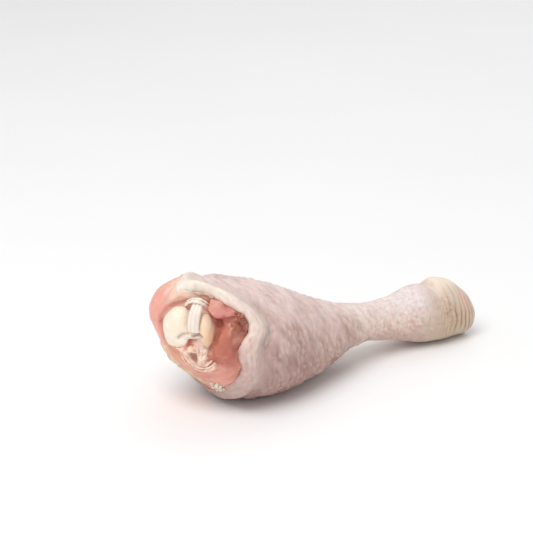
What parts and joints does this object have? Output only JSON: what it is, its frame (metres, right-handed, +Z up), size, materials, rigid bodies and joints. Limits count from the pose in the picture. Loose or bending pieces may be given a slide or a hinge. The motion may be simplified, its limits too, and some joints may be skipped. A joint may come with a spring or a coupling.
{
  "type": "raw chicken drumstick",
  "caption": "Raw chicken drumstick lying on its side, with loose skin over the leg and bare meat, gristle and bone at the cut knee.",
  "frame": {"origin": "on the table, under the centre of the drumstick's bounding box as it lies", "axes": "+X along the leg from the knee to the ankle, +Z up from the table, -Y the near side of the drumstick"},
  "size_m": [0.1462, 0.0512, 0.0521],
  "materials": {
    "skin": "moist, bumpy with feather follicles, pale pink",
    "meat": "wet, smooth salmon-pink muscle, redder on the near side",
    "gristle": "smooth wet cream gristle over bone",
    "ligament": "wet white, with fibres lengthwise",
    "capsule": "wet, torn, pinkish white fibres",
    "fat": "soft cream fat",
    "strip": "soft tan fat and sinew"
  },
  "bodies": {
    "root": {"skin": "skin", "meat": "meat", "leg_bone": "gristle", "knee_ligament": "ligament", "joint_capsule": "capsule", "fat_layer": "fat", "fat_strip": "strip"}
  },
  "joints": []
}
